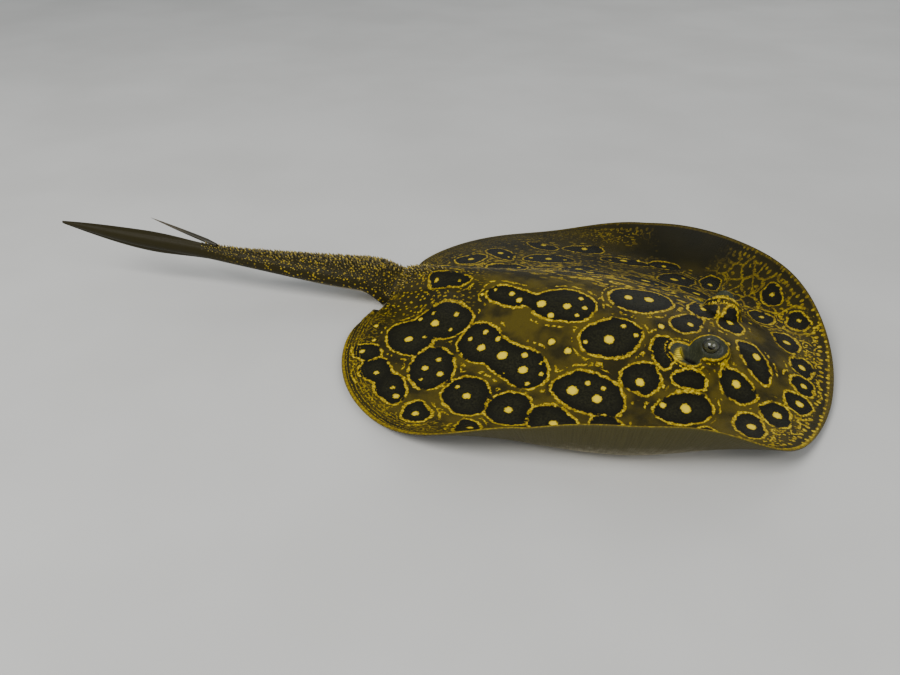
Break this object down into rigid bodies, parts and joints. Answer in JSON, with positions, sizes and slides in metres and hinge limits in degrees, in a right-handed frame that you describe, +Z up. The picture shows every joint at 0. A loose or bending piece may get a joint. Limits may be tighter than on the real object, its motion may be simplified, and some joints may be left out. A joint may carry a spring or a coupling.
{
  "type": "freshwater stingray",
  "caption": "Still, life-size stingray lying on its belly: a round flat disc with curled wing edges, raised eyes and a thick thorny tail with a sting.",
  "frame": {"origin": "on the floor, where the flat of the belly rests under the middle of the disc", "axes": "+X towards the snout, +Y towards the ray's left wing, +Z up off the back"},
  "size_m": [0.783, 0.4446, 0.07],
  "materials": {
    "back_skin": "wet fish skin, dark brown with gold rings",
    "tail_skin": "thorny fish skin, near black with gold flecks",
    "sting_bone": "bony, satin",
    "eye_gloss": "wet gloss"
  },
  "bodies": {
    "root": {"head": "back_skin", "trunk": "back_skin", "pectoral_fin_left": "back_skin", "pectoral_fin_right": "back_skin", "pelvic_fin_left": "back_skin", "pelvic_fin_right": "back_skin", "tail_base": "tail_skin", "tail_middle": "tail_skin", "tail_tip": "tail_skin", "sting": "sting_bone", "eye_left": "eye_gloss", "eye_right": "eye_gloss"}
  },
  "joints": []
}
